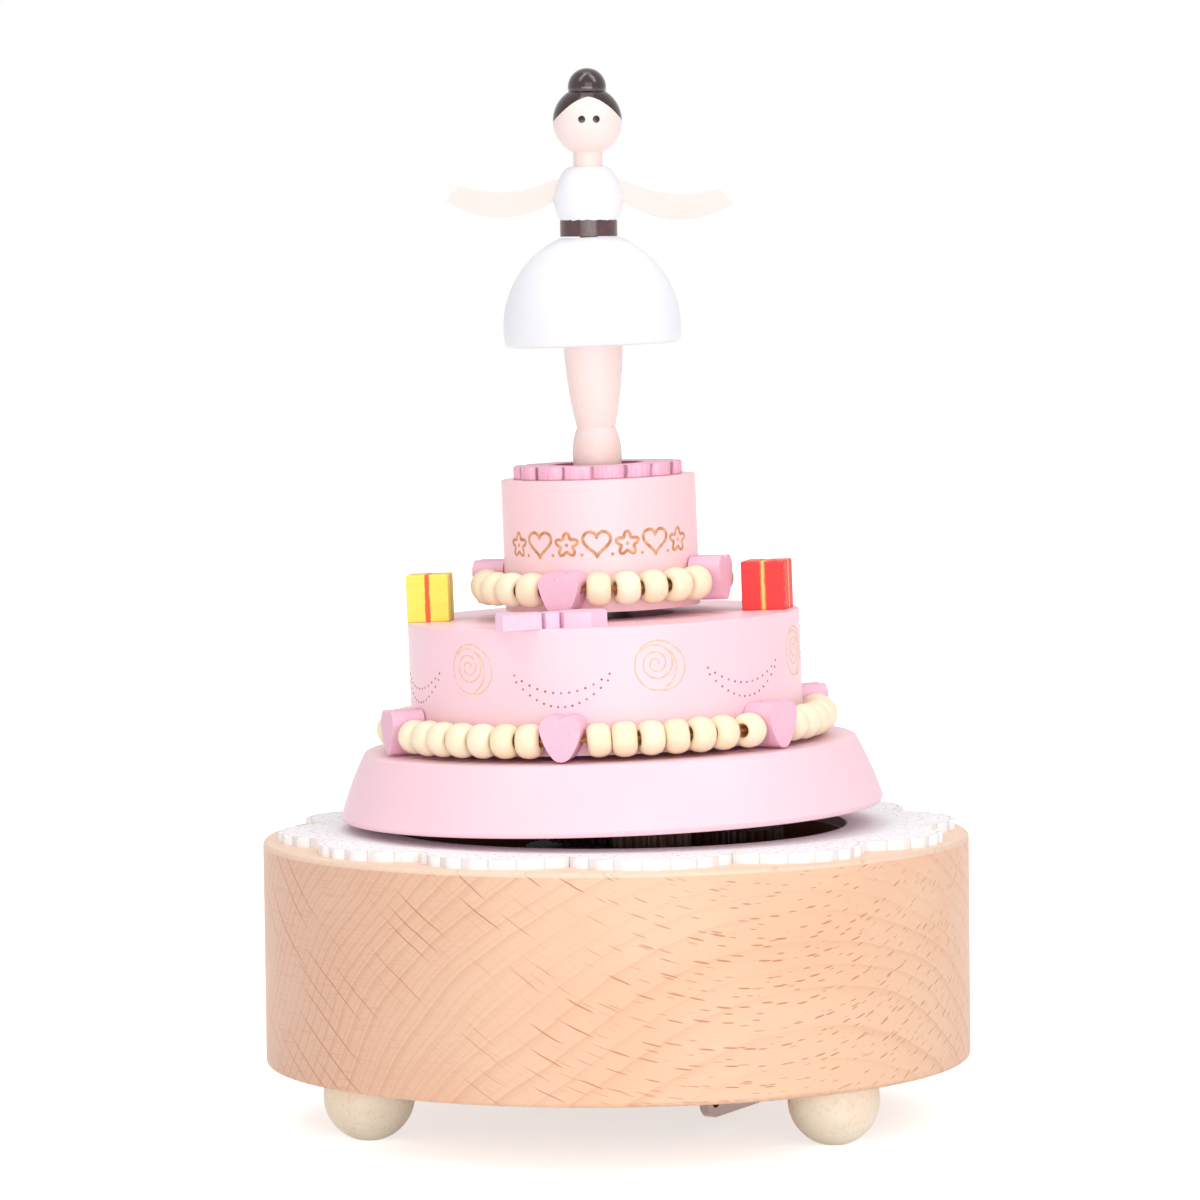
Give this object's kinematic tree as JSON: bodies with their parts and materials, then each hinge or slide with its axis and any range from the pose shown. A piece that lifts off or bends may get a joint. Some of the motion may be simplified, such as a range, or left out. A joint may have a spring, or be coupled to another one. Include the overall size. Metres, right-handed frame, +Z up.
{
  "type": "music box",
  "caption": "Round wooden music box in the form of a tiered cake that turns on a drum base with ball feet, with strung beads and hearts, gifts, a turning dancer and a wind-up movement inside.",
  "frame": {"origin": "centre of the drum's axis on the surface that the feet stand on", "axes": "+Z up along the drum's axis, -Y towards the side of the picture, +X to its right"},
  "size_m": [0.12, 0.12, 0.1791],
  "materials": {
    "beech": "sanded and waxed",
    "white_ply": "matt white paint",
    "pale_wood": "sanded",
    "pink_paint": "satin pale pink paint",
    "deep_pink_ply": "matt pink stain",
    "rose_paint": "matt rose paint",
    "bead_wood": "sanded and waxed",
    "string": "matt",
    "yellow_paint": "satin paint",
    "red_paint": "satin paint",
    "skin_paint": "satin paint",
    "dress_paint": "satin white paint",
    "dark_gloss": "gloss paint",
    "dowel_wood": "raw",
    "key_steel": "nickel plated",
    "steel": "drawn",
    "zinc": "die cast",
    "brass": "drawn",
    "grey_nylon": "moulded",
    "black_nylon": "moulded"
  },
  "bodies": {
    "base": {"base_drum": "beech", "lace_doily": "white_ply", "feet": "pale_wood", "movement_bedplate": "zinc", "movement_screws": "steel", "spring_housing": "steel", "housing_screws": "steel", "comb": "steel", "comb_screws": "steel", "governor_bracket": "steel", "bracket_screws": "steel", "gear_deck": "zinc", "deck_pillars": "zinc", "deck_screws": "steel", "spindle_bush": "brass", "idler_pin": "steel"},
    "lower_cake": {"cake_hub": "grey_nylon", "cake_gear": "black_nylon", "cake_board": "pink_paint", "tier_spacer": "pink_paint", "middle_tier": "pink_paint", "lower_beads": "bead_wood", "lower_hearts": "deep_pink_ply", "lower_string": "string", "yellow_gift": "yellow_paint", "red_gift": "red_paint", "bow": "rose_paint"},
    "top_tier": {"upper_tier": "pink_paint", "tier_tube": "steel", "tier_gear": "grey_nylon", "flower_ring": "deep_pink_ply", "upper_beads": "bead_wood", "upper_hearts": "deep_pink_ply", "upper_string": "string"},
    "dancer": {"dancer_rod": "steel", "dancer_gear": "grey_nylon", "dancer_legs": "skin_paint", "dancer_skirt": "dress_paint", "dancer_torso": "dress_paint", "dancer_arms": "skin_paint", "dancer_head": "skin_paint", "hair_bun": "dark_gloss", "waist_pin": "dowel_wood"},
    "key_shaft": {"winding_key": "key_steel", "winding_arbor": "steel", "mainspring": "steel", "crown_wheel": "brass", "cake_drive_pinion": "grey_nylon", "tier_drive_pinion": "grey_nylon", "dancer_drive_pinion": "grey_nylon"},
    "idler": {"idler_gear": "grey_nylon"},
    "note_cylinder": {"cylinder_arbor": "steel", "pin_cylinder": "brass", "cylinder_pinion": "brass", "cylinder_wheel": "brass"},
    "governor": {"governor_wheel": "brass"},
    "fly": {"worm_and_fly": "black_nylon"}
  },
  "joints": [
    {"name": "cake_turn", "type": "hinge", "parent": "base", "child": "lower_cake", "pos_m": [0, 0, 0.023], "axis": [-0.0262, 0, 0.9997], "continuous": true},
    {"name": "key_turn", "type": "hinge", "parent": "base", "child": "key_shaft", "pos_m": [0.01935, -0.00929, 0], "axis": [0, 0, 1], "continuous": true},
    {"name": "top_tier_turn", "type": "hinge", "parent": "base", "child": "top_tier", "pos_m": [0, 0, 0.023], "axis": [-0.0262, 0, 0.9997], "continuous": true},
    {"name": "dancer_turn", "type": "hinge", "parent": "base", "child": "dancer", "pos_m": [0, 0, 0.023], "axis": [-0.0262, 0, 0.9997], "continuous": true},
    {"name": "idler_turn", "type": "hinge", "parent": "base", "child": "idler", "pos_m": [0.00598, -0.01485, 0.045], "axis": [0, 0, 1], "continuous": true},
    {"name": "cylinder_turn", "type": "hinge", "parent": "base", "child": "note_cylinder", "pos_m": [-0.00755, -0.00929, 0.0255], "axis": [1, 0, 0], "continuous": true},
    {"name": "governor_turn", "type": "hinge", "parent": "base", "child": "governor", "pos_m": [-0.02255, 0.00039, 0.0255], "axis": [1, 0, 0], "continuous": true},
    {"name": "fly_turn", "type": "hinge", "parent": "base", "child": "fly", "pos_m": [-0.02325, 0.00829, 0.0255], "axis": [0, 0, 1], "continuous": true}
  ],
  "couplings": [
    {"joint": "key_turn", "follows": "cake_turn", "ratio": 1.2143},
    {"joint": "top_tier_turn", "follows": "cake_turn", "ratio": -0.67173},
    {"joint": "dancer_turn", "follows": "cake_turn", "ratio": -1.5558},
    {"joint": "idler_turn", "follows": "cake_turn", "ratio": -1.7},
    {"joint": "cylinder_turn", "follows": "cake_turn", "ratio": 4.8571},
    {"joint": "governor_turn", "follows": "cake_turn", "ratio": -14.571},
    {"joint": "fly_turn", "follows": "cake_turn", "ratio": 174.86}
  ]
}
